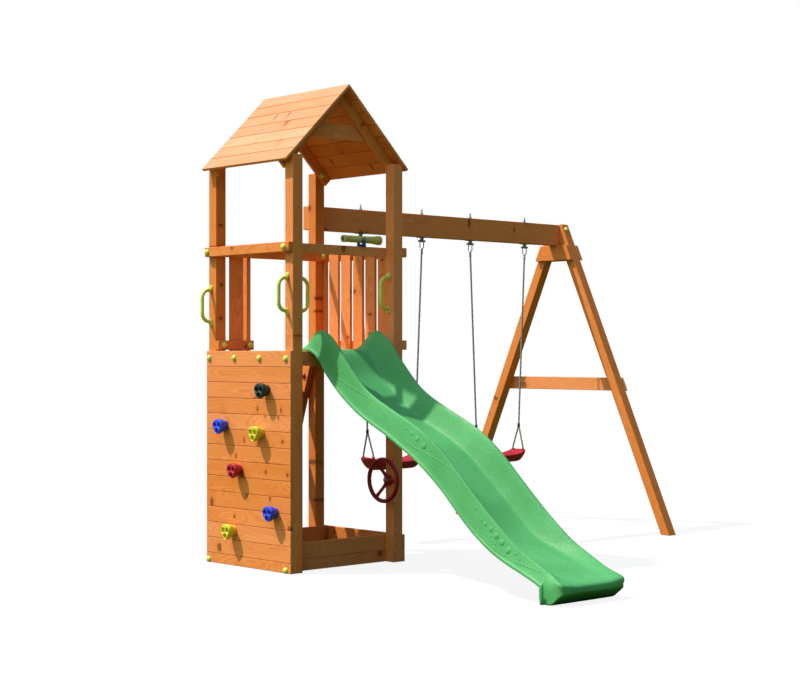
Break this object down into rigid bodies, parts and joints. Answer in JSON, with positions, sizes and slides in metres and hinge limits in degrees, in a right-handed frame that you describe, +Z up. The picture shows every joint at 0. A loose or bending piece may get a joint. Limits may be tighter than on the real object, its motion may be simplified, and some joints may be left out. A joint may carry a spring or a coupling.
{
  "type": "playground set",
  "caption": "Wooden play tower with a pitched roof, plastic slide, climbing wall, ladder, sandpit, and rope swings on a beam with an A-frame stand.",
  "frame": {"origin": "middle of the front left post's foot, on the ground", "axes": "+X towards the swings, +Y from the slide towards the ladder, +Z up"},
  "size_m": [3.1549, 3.5607, 2.678],
  "materials": {
    "timber": "stained, satin",
    "slide_plastic": "glossy",
    "lime_plastic": "satin",
    "red_plastic": "satin",
    "blue_plastic": "satin",
    "yellow_plastic": "satin",
    "black_plastic": "matt",
    "green_plastic": "satin",
    "steel": "zinc plated",
    "rope": "braided"
  },
  "bodies": {
    "tower_and_frame": {"post_front_left": "timber", "post_front_right": "timber", "post_back_left": "timber", "post_back_right": "timber", "climbing_wall": "timber", "deck_platform": "timber", "deck_front_board": "timber", "deck_back_board": "timber", "sandbox_front_boards": "timber", "sandbox_back_boards": "timber", "sandbox_swing_side_boards": "timber", "rail_climb_side": "timber", "rail_slide_side": "timber", "rail_ladder_side": "timber", "low_rail_ladder_side": "timber", "swing_side_railing": "timber", "slat_ladder_side": "timber", "batten_ladder_side": "timber", "ladder": "timber", "roof_left": "timber", "roof_right": "timber", "rafter_front_left": "timber", "rafter_front_right": "timber", "rafter_back_left": "timber", "rafter_back_right": "timber", "collar_tie": "timber", "swing_beam": "timber", "stand_leg_front": "timber", "stand_leg_back": "timber", "stand_crossbar": "timber", "gusset_inner": "timber", "gusset_outer": "timber", "slide": "slide_plastic", "handle_back_left": "lime_plastic", "handle_front_left": "lime_plastic", "handle_slide_left": "lime_plastic", "handle_slide_right": "lime_plastic", "grip_black_1": "black_plastic", "grip_blue_1": "blue_plastic", "grip_blue_2": "blue_plastic", "grip_yellow_1": "yellow_plastic", "grip_yellow_2": "yellow_plastic", "grip_red_1": "red_plastic", "steering_wheel_axle": "steel", "telescope_base": "blue_plastic", "swing_left_hook_near": "steel", "swing_left_hook_far": "steel", "swing_right_hook_near": "steel", "swing_right_hook_far": "steel"},
    "swing_left": {"swing_left_seat": "red_plastic", "swing_left_rope_near": "rope", "swing_left_rope_far": "rope"},
    "swing_right": {"swing_right_seat": "red_plastic", "swing_right_rope_near": "rope", "swing_right_rope_far": "rope"},
    "steering_wheel": {"steering_wheel": "red_plastic"},
    "telescope_fork": {"telescope_fork": "blue_plastic"},
    "telescope_tube": {"telescope_tube": "green_plastic"}
  },
  "joints": [
    {"name": "swing_left_swing", "type": "hinge", "parent": "tower_and_frame", "child": "swing_left", "pos_m": [1.409, 0.7593, 1.9055], "axis": [1, 0, 0], "range_deg": [-55, 55]},
    {"name": "swing_right_swing", "type": "hinge", "parent": "tower_and_frame", "child": "swing_right", "pos_m": [2.371, 0.7593, 1.9055], "axis": [1, 0, 0], "range_deg": [-55, 55]},
    {"name": "steering_wheel_turn", "type": "hinge", "parent": "tower_and_frame", "child": "steering_wheel", "pos_m": [0.68, 0, 0.467], "axis": [1, 0, 0], "continuous": true},
    {"name": "telescope_pan", "type": "hinge", "parent": "tower_and_frame", "child": "telescope_fork", "pos_m": [0.526, 0.0453, 1.827], "axis": [0, 0, 1], "continuous": true},
    {"name": "telescope_tilt", "type": "hinge", "parent": "telescope_fork", "child": "telescope_tube", "pos_m": [0.526, 0.0453, 1.827], "axis": [0, 1, 0], "range_deg": [-5, 5]}
  ]
}
